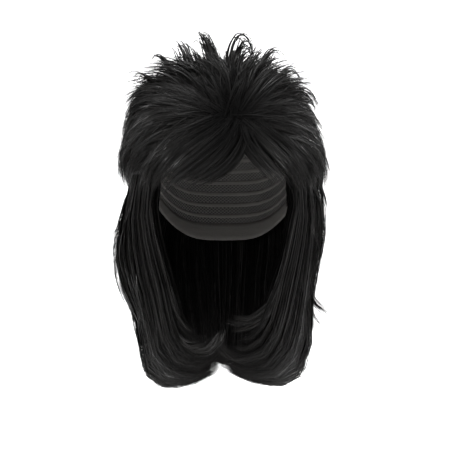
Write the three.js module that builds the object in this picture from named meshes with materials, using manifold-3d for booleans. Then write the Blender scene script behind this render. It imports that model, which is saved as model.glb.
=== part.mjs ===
// A black women's mullet wig: a hollow net cap, short layered hair that radiates from a whorl above the forehead,
// standing tufts on top, a swept fringe in two halves, long side hair that curls in to the throat, and a long back.
// Millimetres, +Z up, the face looks along -Y, and the origin is where the top of a head bears on the cap.
import * as THREE from "three";
import { mergeVertices } from "three/addons/utils/BufferGeometryUtils.js";
import Module from "manifold-3d";

const wasm = await Module();
wasm.setup();

// The head that the cap fits: quarter ellipsoids about an upright axis through the crown
const headHalfWidth = 75;
const headFront = 91;
const headBack = 97;
const headCrownHeight = 94;

// The cap, its rim, and the gap between pieces
const capWall = 1.6;
const pieceGap = 0.35;
const capBrowDrop = 46;
const capTempleDrop = 84;
const capEarDrop = 106;
const capNapeDrop = 150;

// The overall form of the hair
const hairHalfWidth = 104;
const hairFront = 104;
const hairBack = 136;
const hairRise = 27;
const hairDrop = 290;
const sectionRoundness = 2.2;
const whorlAcross = 9;
const whorlDrop = 21;
const whorlDepth = 6;
const whorlSpread = 22;

// The short layers of the crown and the seat of the tufts that stand on them
const tuftSeatHeight = 12;
const crownThickness = 11;
const crownRootDrop = 58;
const crownEdgeDrop = 92;
const crownNapeEdgeDrop = 130;
const crownTipLength = 15;
const padRidge = 1.2;

// The face opening that the crown leaves
const archHalfWidth = 70;
const archAcross = 2;
const archTopDrop = 40;
const archSpringDrop = 108;

// The fringe and the long hair
const fringeThickness = 5;
const fringeRootHeight = 16;
const fringePartAcross = 16;
const fringeWispWidth = 7;
const sideThickness = 20;
const backThickness = 22;
const sideBackSplit = 42;
const sideBackTurn = 132;
const longTipLength = 12;
const longRidge = 1.6;
const curlWidth = 20;
const curlThickness = 13;

// How finely curved faces are cut
const ringSteps = 36;
const headSteps = 24;
const sideSteps = 13;
const backSteps = 20;
const lockSteps = 5;
const crumbSize = 0.09;

// The outline of the whole hair mass, a row for each level. Level is a share of hairRise above the crown or of
// hairDrop below it, left and right are shares of hairHalfWidth, and front and back of hairFront and hairBack.
const hairForm = [
  { level: 1.0, left: 0.06, right: 0.06, front: 0.06, back: 0.14 },
  { level: 0.86, left: 0.4, right: 0.38, front: 0.27, back: 0.42 },
  { level: 0.46, left: 0.72, right: 0.65, front: 0.48, back: 0.66 },
  { level: 0.0, left: 0.88, right: 0.78, front: 0.64, back: 0.82 },
  { level: -0.07, left: 0.94, right: 0.86, front: 0.8, back: 0.92 },
  { level: -0.155, left: 0.97, right: 0.92, front: 0.93, back: 0.98 },
  { level: -0.24, left: 1.0, right: 0.97, front: 0.96, back: 1.0 },
  { level: -0.31, left: 0.97, right: 0.97, front: 0.92, back: 0.99 },
  { level: -0.38, left: 0.96, right: 0.96, front: 0.82, back: 0.95 },
  { level: -0.48, left: 0.99, right: 0.95, front: 0.74, back: 0.88 },
  { level: -0.585, left: 1.02, right: 0.93, front: 0.72, back: 0.81 },
  { level: -0.655, left: 0.98, right: 0.86, front: 0.74, back: 0.78 },
  { level: -0.73, left: 0.93, right: 0.86, front: 0.78, back: 0.77 },
  { level: -0.81, left: 0.83, right: 0.86, front: 0.8, back: 0.78 },
  { level: -0.88, left: 0.8, right: 0.83, front: 0.82, back: 0.8 },
  { level: -0.95, left: 0.8, right: 0.8, front: 0.83, back: 0.83 },
  { level: -1.05, left: 0.68, right: 0.64, front: 0.8, back: 0.86 },
];

// The front edge of the long side hair, in degrees round from the face, by level.
const sideFrontEdge = [
  { level: -0.2, left: 42, right: 42 },
  { level: -0.36, left: 44, right: 42 },
  { level: -0.5, left: 42, right: 41 },
  { level: -0.6, left: 37, right: 39 },
  { level: -0.7, left: 25, right: 24 },
  { level: -0.85, left: 30, right: 28 },
  { level: -1.0, left: 34, right: 32 },
];

// How far down the long hair ends, by degrees round from the face: it is shorter where it lies on the shoulders.
const longHem = [
  { turn: 0, drop: 0.97 },
  { turn: 45, drop: 0.98 },
  { turn: 70, drop: 0.94 },
  { turn: 95, drop: 0.87 },
  { turn: 120, drop: 0.93 },
  { turn: 150, drop: 1.0 },
  { turn: 180, drop: 1.02 },
];

// The fringe's lower edge in front view, from the temple to the part: shares of hairHalfWidth and of hairDrop.
const fringeEdge = {
  left: [
    { across: -0.72, drop: 0.335 },
    { across: -0.62, drop: 0.295 },
    { across: -0.55, drop: 0.315 },
    { across: -0.46, drop: 0.27 },
    { across: -0.4, drop: 0.3 },
    { across: -0.3, drop: 0.262 },
    { across: -0.24, drop: 0.31 },
    { across: -0.1, drop: 0.25 },
    { across: -0.02, drop: 0.225 },
    { across: 0.08, drop: 0.17 },
  ],
  right: [
    { across: 0.73, drop: 0.37 },
    { across: 0.6, drop: 0.335 },
    { across: 0.52, drop: 0.315 },
    { across: 0.46, drop: 0.29 },
    { across: 0.42, drop: 0.265 },
    { across: 0.36, drop: 0.25 },
    { across: 0.3, drop: 0.225 },
    { across: 0.2, drop: 0.185 },
  ],
};

// The long wisps of the fringe, which curve down from the part: shares of hairHalfWidth and hairDrop.
const fringeWisps = [
  [
    { across: 0.13, drop: 0.145 },
    { across: 0.11, drop: 0.21 },
    { across: 0.02, drop: 0.275 },
    { across: -0.13, drop: 0.312 },
    { across: -0.26, drop: 0.317 },
  ],
  [
    { across: 0.08, drop: 0.145 },
    { across: 0.02, drop: 0.2 },
    { across: -0.12, drop: 0.262 },
    { across: -0.3, drop: 0.3 },
  ],
];

// The standing tufts on top: where each is rooted and where its tip is, as shares of hairHalfWidth across,
// of hairBack to the rear and of hairRise above the crown, its width in millimetres, and how far it bows out.
const standingTufts = [
  { rootAcross: -0.08, rootBack: -0.16, tipAcross: -0.2, tipBack: -0.1, tipRise: 2.26, width: 15, bow: 0.08 },
  { rootAcross: 0.0, rootBack: -0.18, tipAcross: -0.1, tipBack: -0.08, tipRise: 1.9, width: 14, bow: 0.05 },
  { rootAcross: 0.08, rootBack: -0.17, tipAcross: 0.17, tipBack: -0.12, tipRise: 2.18, width: 15, bow: 0.08 },
  { rootAcross: 0.16, rootBack: -0.14, tipAcross: 0.33, tipBack: -0.08, tipRise: 1.72, width: 15, bow: 0.26 },
  { rootAcross: -0.18, rootBack: -0.15, tipAcross: -0.33, tipBack: -0.1, tipRise: 1.8, width: 15, bow: 0.1 },
  { rootAcross: -0.3, rootBack: -0.12, tipAcross: -0.48, tipBack: -0.08, tipRise: 1.86, width: 16, bow: 0.12 },
  { rootAcross: -0.4, rootBack: -0.02, tipAcross: -0.66, tipBack: -0.02, tipRise: 1.3, width: 17, bow: 0.14 },
  { rootAcross: -0.5, rootBack: 0.1, tipAcross: -0.8, tipBack: 0.12, tipRise: 0.5, width: 18, bow: 0.16 },
  { rootAcross: 0.28, rootBack: -0.1, tipAcross: 0.5, tipBack: -0.06, tipRise: 1.6, width: 16, bow: 0.2 },
  { rootAcross: 0.4, rootBack: 0.04, tipAcross: 0.68, tipBack: 0.04, tipRise: 0.7, width: 18, bow: 0.16 },
  { rootAcross: 0.02, rootBack: 0.04, tipAcross: 0.05, tipBack: 0.14, tipRise: 1.8, width: 17, bow: 0.1 },
  { rootAcross: -0.2, rootBack: 0.1, tipAcross: -0.4, tipBack: 0.24, tipRise: 1.6, width: 18, bow: 0.16 },
  { rootAcross: 0.22, rootBack: 0.12, tipAcross: 0.42, tipBack: 0.26, tipRise: 1.5, width: 18, bow: 0.16 },
  { rootAcross: 0.0, rootBack: 0.22, tipAcross: -0.04, tipBack: 0.46, tipRise: 1.5, width: 19, bow: 0.2 },
  { rootAcross: -0.22, rootBack: 0.34, tipAcross: -0.34, tipBack: 0.62, tipRise: 1.0, width: 19, bow: 0.2 },
  { rootAcross: 0.22, rootBack: 0.36, tipAcross: 0.34, tipBack: 0.64, tipRise: 0.9, width: 19, bow: 0.2 },
];

// The locks that radiate from the whorl over the front of the crown: how many, the degrees that they span round from
// straight up, how far out they start and end as shares of hairHalfWidth, and how far the ones at the sides droop.
const whorlLocks = {
  count: 11,
  from: -112,
  to: 108,
  root: 0.12,
  tip: 0.66,
  droop: 0.2,
  width: 17,
  thickness: 8,
  lift: 2,
};

// Rings of feathered locks whose tips lift off the mass: how many, the degrees that they span, the levels where
// they start and end, their width and thickness, and how far their tips lift.
const crownFeathers = [
  { count: 11, from: 72, to: 288, start: 0.3, end: -0.14, width: 18, thickness: 8, lift: 4 },
  { count: 12, from: 62, to: 298, start: -0.08, end: -0.28, width: 18, thickness: 8, lift: 4 },
];
const backFeathers = [
  { count: 4, from: 138, to: 222, start: -0.42, end: -0.74, width: 28, thickness: 10, lift: 4 },
  { count: 5, from: 128, to: 232, start: -0.7, end: -1.05, width: 28, thickness: 10, lift: 4 },
];

// The long locks of each side, as degrees round from the face and levels at the root, the middle and the tip.
const sideLocks = [
  { root: 98, top: -0.38, turn: 94, middle: -0.62, tip: 56, end: -0.86, width: 26 },
  { root: 76, top: -0.38, turn: 72, middle: -0.6, tip: 42, end: -0.88, width: 24 },
  { root: 86, top: -0.6, turn: 82, middle: -0.76, tip: 62, end: -0.96, width: 26 },
];

// The curled ends that sweep in to the throat, each from its root to its tip. Across is a share of hairHalfWidth,
// drop of hairDrop, and front of hairFront.
const curledEnds = {
  left: [
    [
      { across: -0.64, drop: 0.84, front: 0.6 },
      { across: -0.5, drop: 0.95, front: 0.72 },
      { across: -0.24, drop: 0.955, front: 0.84 },
      { across: -0.05, drop: 0.89, front: 0.9 },
      { across: -0.01, drop: 0.815, front: 0.9 },
    ],
    [
      { across: -0.56, drop: 0.78, front: 0.66 },
      { across: -0.42, drop: 0.88, front: 0.8 },
      { across: -0.22, drop: 0.9, front: 0.9 },
      { across: -0.08, drop: 0.87, front: 0.95 },
      { across: -0.05, drop: 0.83, front: 0.95 },
    ],
    [
      { across: -0.7, drop: 0.82, front: 0.52 },
      { across: -0.62, drop: 0.945, front: 0.6 },
      { across: -0.42, drop: 0.985, front: 0.7 },
      { across: -0.22, drop: 0.965, front: 0.78 },
      { across: -0.12, drop: 0.925, front: 0.8 },
    ],
  ],
  right: [
    [
      { across: 0.66, drop: 0.84, front: 0.6 },
      { across: 0.52, drop: 0.955, front: 0.7 },
      { across: 0.28, drop: 0.98, front: 0.74 },
      { across: 0.07, drop: 0.945, front: 0.72 },
      { across: -0.02, drop: 0.91, front: 0.68 },
    ],
    [
      { across: 0.55, drop: 0.78, front: 0.68 },
      { across: 0.42, drop: 0.87, front: 0.76 },
      { across: 0.24, drop: 0.9, front: 0.78 },
      { across: 0.08, drop: 0.88, front: 0.76 },
      { across: 0.01, drop: 0.86, front: 0.72 },
    ],
    [
      { across: 0.72, drop: 0.82, front: 0.5 },
      { across: 0.62, drop: 0.94, front: 0.58 },
      { across: 0.44, drop: 0.985, front: 0.66 },
      { across: 0.26, drop: 1.0, front: 0.68 },
      { across: 0.12, drop: 0.97, front: 0.66 },
    ],
  ],
};

const radians = THREE.MathUtils.degToRad;
const lerp = THREE.MathUtils.lerp;
const levelHeight = (level) => level * (level > 0 ? hairRise : hairDrop);
const heightLevel = (z) => z / (z > 0 ? hairRise : hairDrop);

// A column of a table at any value of its key column, with straight runs between the rows.
function column(table, key, value, name) {
  const rows = table[0][key] > table[1][key] ? table.toReversed() : table;
  const i = rows.findIndex((row) => row[key] > value);
  if (i === 0) return rows[0][name];
  if (i < 0) return rows[rows.length - 1][name];
  const share = (value - rows[i - 1][key]) / (rows[i][key] - rows[i - 1][key]);
  return lerp(rows[i - 1][name], rows[i][name], share);
}

// A point on a rounded oval whose four reaches may differ, turned from the face.
function ovalPoint(turn, left, right, front, back, roundness) {
  const s = Math.sin(radians(turn));
  const c = Math.cos(radians(turn));
  const across = s < 0 ? left : right;
  const along = c > 0 ? front : back;
  const radius = (Math.abs(s) ** roundness + Math.abs(c) ** roundness) ** (-1 / roundness);
  return new THREE.Vector2(across * s * radius, -along * c * radius);
}

// A point of the hair mass, lifted out of it or sunk into it. The mass dips at the whorl.
function hairPoint(turn, z, lift = 0) {
  const level = heightLevel(z);
  const at = (name, reach) => Math.max(column(hairForm, "level", level, name) * reach + lift, 0.5);
  const p = ovalPoint(
    turn,
    at("left", hairHalfWidth),
    at("right", hairHalfWidth),
    at("front", hairFront),
    at("back", hairBack),
    sectionRoundness,
  );
  return new THREE.Vector3(p.x, p.y + (p.y < 0 ? whorlDip(p.x, z) : 0), z);
}

function whorlDip(x, z) {
  const off = Math.hypot(x - whorlAcross, z + whorlDrop) / whorlSpread;
  return whorlDepth * Math.exp(-off * off);
}

// The point of the mass that shows at a place in front view.
function frontPoint(x, z, lift) {
  const at = (name, reach) => Math.max(column(hairForm, "level", heightLevel(z), name) * reach + lift, 0.5);
  const share = Math.min(Math.abs(x) / at(x < 0 ? "left" : "right", hairHalfWidth), 0.999);
  const y = -at("front", hairFront) * (1 - share ** sectionRoundness) ** (1 / sectionRoundness);
  return new THREE.Vector3(x, y + whorlDip(x, z), z);
}

// A point of the head, or of a skin that lies off it, at an angle down from the crown.
function headPoint(turn, tilt, off) {
  const s = Math.sin(radians(tilt));
  const p = ovalPoint(turn, headHalfWidth + off, headHalfWidth + off, headFront + off, headBack + off, 2);
  const z = (headCrownHeight + off) * Math.cos(radians(tilt)) - headCrownHeight;
  return new THREE.Vector3(p.x * s, p.y * s, z);
}

// A manifold solid from triangles given as a flat list of points, turned so that its faces point out.
function solidOf(points) {
  const positions = new Float32Array(points.flatMap((p) => [p.x, p.y, p.z]));
  const loose = new THREE.BufferGeometry().setAttribute("position", new THREE.BufferAttribute(positions, 3));
  const merged = mergeVertices(loose, 1e-3);
  const index = merged.index.array;
  const facesOut = [];
  const facesIn = [];
  for (let i = 0; i < index.length; i += 3) {
    const [a, b, c] = [index[i], index[i + 1], index[i + 2]];
    if (a === b || b === c || c === a) continue;
    facesOut.push(a, b, c);
    facesIn.push(a, c, b);
  }
  const build = (faces) => new wasm.Manifold(
    new wasm.Mesh({
      numProp: 3,
      vertProperties: merged.attributes.position.array,
      triVerts: new Uint32Array(faces),
    }),
  );
  const made = build(facesOut);
  return made.volume() < 0 ? build(facesIn) : made;
}

const joined = (solids) => wasm.Manifold.union(solids);
const cutAway = (solid, ...cutters) => cutters.reduce((rest, cutter) => rest.subtract(cutter), solid);
const above = (solid, z) => solid.trimByPlane([0, 0, 1], z);
const below = (solid, z) => solid.trimByPlane([0, 0, -1], -z);
const behind = (solid, y) => solid.trimByPlane([0, 1, 0], y);
const before = (solid, y) => solid.trimByPlane([0, -1, 0], -y);

// The largest body of a solid, without the crumbs and pin holes that a cut leaves.
function wholeBody(solid) {
  const { vertProperties, triVerts } = solid.simplify(crumbSize).getMesh();
  const point = (i) => new THREE.Vector3().fromArray(vertProperties, 3 * i);
  const bodies = solidOf(Array.from(triVerts, point)).decompose();
  return bodies.sort((a, b) => b.volume() - a.volume())[0];
}

const quad = (a, b, c, d) => [a, b, c, a, c, d];
const ringOf = (steps, pointAt) => Array.from({ length: steps }, (_, j) => pointAt((360 * j) / steps, j));

// A closed body through rings of points, with its ends fanned from their middles.
function filled(rings) {
  const faces = [];
  const steps = rings[0].length;
  const middle = (ring) => ring.reduce((sum, p) => sum.add(p), new THREE.Vector3()).divideScalar(steps);
  const last = rings[rings.length - 1];
  const [top, foot] = [middle(rings[0]), middle(last)];
  for (let j = 0; j < steps; j++) {
    const k = (j + 1) % steps;
    for (let i = 0; i < rings.length - 1; i++) {
      faces.push(...quad(rings[i][j], rings[i + 1][j], rings[i + 1][k], rings[i][k]));
    }
    faces.push(rings[0][k], top, rings[0][j]);
    faces.push(last[j], foot, last[k]);
  }
  return solidOf(faces);
}

// A thick sheet between two grids of points that have as many rows and steps.
function thickSheet(outer, inner) {
  const faces = [];
  const rows = outer.length - 1;
  const last = outer[0].length - 1;
  for (let i = 0; i < rows; i++) {
    for (let j = 0; j < last; j++) {
      faces.push(...quad(outer[i][j], outer[i + 1][j], outer[i + 1][j + 1], outer[i][j + 1]));
      faces.push(...quad(inner[i][j + 1], inner[i + 1][j + 1], inner[i + 1][j], inner[i][j]));
    }
    faces.push(...quad(inner[i][0], inner[i + 1][0], outer[i + 1][0], outer[i][0]));
    faces.push(...quad(outer[i][last], outer[i + 1][last], inner[i + 1][last], inner[i][last]));
  }
  for (let j = 0; j < last; j++) {
    faces.push(...quad(outer[0][j + 1], inner[0][j + 1], inner[0][j], outer[0][j]));
    faces.push(...quad(outer[rows][j], inner[rows][j], inner[rows][j + 1], outer[rows][j + 1]));
  }
  return solidOf(faces);
}

// Out of the hair mass: level on its sides, and upward above the crown.
function outOfMass(p) {
  return new THREE.Vector3(p.x / hairHalfWidth, p.y / hairBack, Math.max(p.z / hairRise, 0)).normalize();
}
const forward = () => new THREE.Vector3(0, -1, 0);

// A strip of hair along a smooth way through points, flat against what it lies on and tapering to its tip.
function lock(way, width, thickness, outward, grow, rootShare = 0.7) {
  const curve = new THREE.CatmullRomCurve3(way, false, "centripetal");
  const fullAt = 0.35;
  const tipShare = 0.1;
  const rings = Array.from({ length: lockSteps + 1 }, (_, i) => {
    const share = i / lockSteps;
    const centre = curve.getPoint(share);
    const along = curve.getTangent(share);
    const side = new THREE.Vector3().crossVectors(along, outward(centre)).normalize();
    const up = new THREE.Vector3().crossVectors(side, along).normalize();
    const past = Math.max(share - fullAt, 0) / (1 - fullAt);
    const taper = lerp(rootShare, 1, Math.min(share / fullAt, 1)) * lerp(1, tipShare, past ** 1.4);
    const half = (width * taper) / 2 + grow;
    const deep = (thickness * taper) / 2 + grow;
    return [
      centre.clone().addScaledVector(side, half),
      centre.clone().addScaledVector(up, deep),
      centre.clone().addScaledVector(side, -half),
      centre.clone().addScaledVector(up, -deep),
    ];
  });
  return filled(rings);
}

// Combed ridges: in and out by turns from one step to the next, unevenly.
const ridge = (j) => (j % 2 ? -1 : 1) * (0.7 + 0.3 * Math.sin(2.4 * j));

// A slab through the part, with its outline drawn in side view (axis x) or in front view (axis y).
function slab(shape, axis, from, to) {
  const geometry = new THREE.ExtrudeGeometry(shape, { depth: to - from, bevelEnabled: false, curveSegments: 10 });
  geometry.translate(0, 0, from);
  const [x, y, z] = [new THREE.Vector3(1, 0, 0), new THREE.Vector3(0, 1, 0), new THREE.Vector3(0, 0, 1)];
  const basis = axis === "x" ? [y, z, x] : [x, z, y.negate()];
  geometry.applyMatrix4(new THREE.Matrix4().makeBasis(...basis));
  const bare = geometry.index ? geometry.toNonIndexed() : geometry;
  const at = bare.getAttribute("position");
  return solidOf(Array.from({ length: at.count }, (_, i) => new THREE.Vector3().fromBufferAttribute(at, i)));
}

// Everything under the cap's rim, seen from the side: the brow, the temple, the ear tab and the nape.
function underRim(grow) {
  const far = hairBack * 2;
  const outline = new THREE.Shape();
  outline.moveTo(-far, -far * 2);
  outline.lineTo(-far, -capBrowDrop - grow);
  outline.lineTo(-headFront * 0.86, -capBrowDrop - grow);
  outline.splineThru([
    new THREE.Vector2(-headFront * 0.5, -capTempleDrop - grow),
    new THREE.Vector2(-headFront * 0.12, -capEarDrop - grow),
    new THREE.Vector2(headBack * 0.3, -capEarDrop - grow),
    new THREE.Vector2(headBack * 0.72, -capNapeDrop - grow),
  ]);
  outline.lineTo(far, -capNapeDrop - grow);
  outline.lineTo(far, -far * 2);
  outline.closePath();
  return slab(outline, "x", -hairHalfWidth * 2, hairHalfWidth * 2);
}

// The head as a body, out to a distance off it. The angles are those of its rings, from the crown down.
const headTilts = [8, 26, 44, 62, 80, 98, 116, 132];
const headBody = (off) => filled(headTilts.map((tilt) => ringOf(headSteps, (turn) => headPoint(turn, tilt, off))));

function makeCap() {
  return cutAway(headBody(capWall), headBody(0), underRim(0));
}

// The face opening, an arch that runs through the front of the hair.
function faceArch(grow) {
  const half = archHalfWidth - grow;
  const outline = new THREE.Shape();
  outline.moveTo(archAcross + half, -hairDrop * 2);
  outline.lineTo(archAcross + half, -archSpringDrop);
  outline.absellipse(archAcross, -archSpringDrop, half, archSpringDrop - archTopDrop - grow, 0, Math.PI, false, 0);
  outline.lineTo(archAcross - half, -hairDrop * 2);
  outline.closePath();
  return slab(outline, "y", 0, hairFront * 2);
}

// A ring of locks that lie down the mass, each a little askew, with lifted tips.
function feathers(layer, grow) {
  const skew = 5;
  return Array.from({ length: layer.count }, (_, i) => {
    const turn = lerp(layer.from, layer.to, i / (layer.count - 1));
    const sway = skew * Math.sin(2.4 * i);
    const [top, foot] = [levelHeight(layer.start), levelHeight(layer.end)];
    const at = (share, turned, lift) => hairPoint(turn + turned, lerp(top, foot, share), lift);
    const sunk = -layer.thickness / 2;
    const way = [at(0, 0, sunk), at(0.35, sway * 0.3, sunk * 0.3), at(0.7, sway, layer.lift * 0.4),
      at(1, sway * 1.4, layer.lift)];
    return lock(way, layer.width, layer.thickness, outOfMass, grow);
  });
}

// The locks of the front, which spread from the whorl like rays and droop toward the cheeks.
function rays(layer, grow) {
  return Array.from({ length: layer.count }, (_, i) => {
    const turn = radians(lerp(layer.from, layer.to, i / (layer.count - 1)));
    const way = [0, 0.35, 0.7, 1].map((share) => {
      const out = lerp(layer.root, layer.tip, share) * hairHalfWidth;
      const droop = layer.droop * hairHalfWidth * share ** 2 * Math.abs(Math.sin(turn));
      const [x, z] = [whorlAcross + out * Math.sin(turn), out * Math.cos(turn) - whorlDrop - droop];
      return frontPoint(x, z, lerp(-layer.thickness / 2, layer.lift, share ** 2));
    });
    return lock(way, layer.width, layer.thickness, outOfMass, grow, 0.35);
  });
}

// A way from root to tip that bows outward in the middle.
function bowed(root, tip, bow) {
  const bulge = outOfMass(root).multiplyScalar(root.distanceTo(tip) * bow);
  const along = (share) => root.clone().lerp(tip, share);
  return [root, along(0.35).addScaledVector(bulge, 0.8), along(0.72).add(bulge), tip];
}

// Where the short layers end below each point of the head, with every other lock longer.
function crownHem(turn, j) {
  const fromFace = Math.abs(((turn + 180) % 360) - 180);
  const toNape = THREE.MathUtils.smoothstep(fromFace, 80, 180);
  return -lerp(crownEdgeDrop, crownNapeEdgeDrop, toNape) - (crownTipLength / 2) * ridge(j);
}

// The mass of the short layers: solid down to its roots on the cap, and a feathered skirt below them.
function makeCrown(grow) {
  const shares = [0, 0.11, 0.3, 0.52, 0.75, 1];
  const ridgeHeight = [0, 0.6, 1.2, 1.6, 1.6, -2];
  const outer = shares.map((share, i) =>
    ringOf(ringSteps, (turn, j) => {
      const z = lerp(tuftSeatHeight + grow, crownHem(turn, j) - grow, share);
      return hairPoint(turn, z, ridgeHeight[i] * (share < 1 ? ridge(j) : 1) + grow);
    }),
  );
  const skirtLevels = [-crownRootDrop - grow, -crownEdgeDrop, -crownNapeEdgeDrop - crownTipLength - grow];
  const underSkirt = filled(
    skirtLevels.map((z) => ringOf(headSteps, (turn) => hairPoint(turn, z, -crownThickness - grow))),
  );
  const locks = [...rays(whorlLocks, grow), ...crownFeathers.flatMap((layer) => feathers(layer, grow))];
  const mass = below(joined([filled(outer), ...locks]), tuftSeatHeight + grow);
  return cutAway(mass, underSkirt, faceArch(grow), headBody(capWall + pieceGap - grow));
}

function makeTopTufts(grow) {
  const seat = tuftSeatHeight + pieceGap;
  const levels = hairForm.map((row) => levelHeight(row.level)).filter((z) => z > seat);
  const rings = [...levels, seat - grow].map((z, i) =>
    ringOf(ringSteps, (turn, j) => hairPoint(turn, z, (i > 0) * padRidge * ridge(j) + grow)),
  );
  const sunk = 6;
  const tufts = standingTufts.map((row) => {
    const seatedAt = new THREE.Vector2(row.rootAcross * hairHalfWidth, row.rootBack * hairBack);
    const root = new THREE.Vector3(seatedAt.x, seatedAt.y, seat + sunk);
    const tip = new THREE.Vector3(row.tipAcross * hairHalfWidth, row.tipBack * hairBack, row.tipRise * hairRise);
    return lock(bowed(root, tip, row.bow), row.width, row.width * 0.6, forward, grow, 1.15);
  });
  return above(joined([filled(rings), ...tufts]), seat - grow);
}

// One half of the fringe: a root band on the cap under the arch, a thin swept sheet, and the wisps of the left half.
function makeFringe(side, grow) {
  const name = side < 0 ? "left" : "right";
  const part = fringePartAcross + (side * pieceGap) / 2 - side * grow;
  const outline = new THREE.Shape();
  outline.moveTo(part, 0);
  outline.lineTo(side * hairHalfWidth, 0);
  outline.lineTo(side * hairHalfWidth, -fringeEdge[name][0].drop * hairDrop - grow);
  for (const row of fringeEdge[name]) {
    outline.lineTo(row.across * hairHalfWidth, -row.drop * hairDrop - grow);
  }
  outline.lineTo(part, -fringeEdge[name].at(-1).drop * hairDrop - grow);
  outline.closePath();
  const levels = [0, -0.07, -0.155, -0.24, -0.31, -0.38, -0.45];
  const bodyAt = (lift) =>
    filled(levels.map((level) => ringOf(ringSteps, (turn) => hairPoint(turn, levelHeight(level), lift))));
  const rootBand = archTopDrop + fringeRootHeight;
  const underSheet = below(bodyAt(-fringeThickness - grow), -rootBand - grow);
  const sheet = cutAway(bodyAt(grow), underSheet).intersect(slab(outline, "y", 0, hairFront * 2));
  const wisps = (side > 0 ? [] : fringeWisps).map((rows) => {
    const way = rows.map((row) => frontPoint(row.across * hairHalfWidth, -row.drop * hairDrop, -fringeThickness / 2));
    return lock(way, fringeWispWidth, fringeThickness * 0.8, outOfMass, grow);
  });
  const within = faceArch(pieceGap - grow);
  return cutAway(joined([sheet, ...wisps]).intersect(within), headBody(capWall + pieceGap - grow));
}

// The rows of a long sheet of hair, from under the short layers to a hem of pointed locks.
function longSheet(turns, startDrop, tuckedDrop, thicknessAt, grow) {
  const tuckedSink = crownThickness + pieceGap;
  const shares = [0.03, 0.2, 0.38, 0.58, 0.8, 1];
  const hemAt = (turn, j) => {
    const drop = column(longHem, "turn", Math.abs(turn), "drop") * hairDrop;
    return -drop - (longTipLength / 2) * ridge(j);
  };
  const rowOf = (heightAt, sinkAt) =>
    turns.map((turnAt, j) => {
      const z = heightAt(j);
      return hairPoint(turnAt(z), z, grow - sinkAt(j));
    });
  const rowsWith = (sinkAt, ridgeHeight) => [
    rowOf(() => -startDrop + grow, (j) => sinkAt(j) + tuckedSink),
    rowOf(() => -tuckedDrop, (j) => sinkAt(j) + tuckedSink),
    ...shares.map((share) =>
      rowOf(
        (j) => lerp(-tuckedDrop - 6, hemAt(turns[j](-hairDrop), j), share) - (share === 1 ? grow : 0),
        (j) => sinkAt(j) * (share === 1 ? 0.55 : 1) - (share < 1 ? ridgeHeight * ridge(j) : 0),
      ),
    ),
  ];
  return [rowsWith(() => 0, longRidge), rowsWith((j) => thicknessAt(j) + 2 * grow, 0)];
}

// The long side hair: a sheet from its front edge to the split beside the nape, with its curled ends.
function makeSide(side, grow) {
  const name = side < 0 ? "left" : "right";
  const turns = Array.from({ length: sideSteps + 1 }, (_, j) => (z) => {
    const start = column(sideFrontEdge, "level", heightLevel(z), name);
    return side * lerp(start, sideBackTurn, j / sideSteps);
  });
  const thinToFront = (j) => sideThickness * Math.min(1, 0.35 + 0.25 * j);
  const sheet = thickSheet(
    ...longSheet(turns, crownRootDrop + pieceGap, crownEdgeDrop + crownTipLength / 2, thinToFront, grow),
  );
  const locks = sideLocks.map((row) => {
    const way = [
      hairPoint(row.root * side, levelHeight(row.top), -8),
      hairPoint(row.turn * side, levelHeight(row.middle), 1),
      hairPoint(row.tip * side, levelHeight(row.end), 1),
    ];
    return lock(way, row.width, 10, outOfMass, grow);
  });
  const curls = curledEnds[name].map((rows) => {
    const way = rows.map((p) => new THREE.Vector3(p.across * hairHalfWidth, -p.front * hairFront, -p.drop * hairDrop));
    return lock(way, curlWidth, curlThickness, forward, grow, 1);
  });
  return before(joined([sheet, ...locks, ...curls]), sideBackSplit + grow);
}

// The long back: a sheet round the nape, with feathered ends.
function makeBack(grow) {
  const from = 100;
  const turns = Array.from({ length: backSteps + 1 }, (_, j) => () => {
    const turn = lerp(from, 360 - from, j / backSteps);
    return turn > 180 ? turn - 360 : turn;
  });
  const sheet = thickSheet(
    ...longSheet(turns, crownRootDrop + pieceGap, crownNapeEdgeDrop + crownTipLength / 2, () => backThickness, grow),
  );
  const locks = backFeathers.flatMap((layer) => feathers(layer, grow));
  return behind(joined([sheet, ...locks]), sideBackSplit + pieceGap - grow);
}

// Each piece is cut back from the grown forms of those that lie over it, so that all keep the same small gap.
const headRoom = headBody(capWall + pieceGap);
const crownRoom = makeCrown(pieceGap);
const topRoom = makeTopTufts(pieceGap);
const fringeRooms = [makeFringe(-1, pieceGap), makeFringe(1, pieceGap)];
const sideRooms = [makeSide(-1, pieceGap), makeSide(1, pieceGap)];

const solids = {
  cap: makeCap(),
  top_tufts: makeTopTufts(0),
  crown_layers: cutAway(makeCrown(0), topRoom),
  fringe_left: cutAway(makeFringe(-1, 0), crownRoom),
  fringe_right: cutAway(makeFringe(1, 0), crownRoom, fringeRooms[0]),
  side_hair_left: cutAway(makeSide(-1, 0), headRoom, crownRoom, ...fringeRooms),
  side_hair_right: cutAway(makeSide(1, 0), headRoom, crownRoom, ...fringeRooms, sideRooms[0]),
  back_hair: cutAway(makeBack(0), headRoom, crownRoom, ...sideRooms),
};

const hairBlack = { color: 0x14130f, roughness: 0.42, metalness: 0 };
const netBlack = { color: 0x1c1a19, roughness: 0.9, metalness: 0 };

const wig = new THREE.Group();
wig.name = "mullet_wig";
for (const [name, solid] of Object.entries(solids)) {
  const { vertProperties, triVerts } = wholeBody(solid).getMesh();
  const geometry = new THREE.BufferGeometry();
  geometry.setAttribute("position", new THREE.BufferAttribute(new Float32Array(vertProperties), 3));
  geometry.setIndex(new THREE.BufferAttribute(new Uint32Array(triVerts), 1));
  geometry.computeVertexNormals();
  const look = new THREE.MeshStandardMaterial(name === "cap" ? netBlack : hairBlack);
  const mesh = new THREE.Mesh(geometry, look);
  mesh.name = name;
  wig.add(mesh);
}

export default wig;
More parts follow.
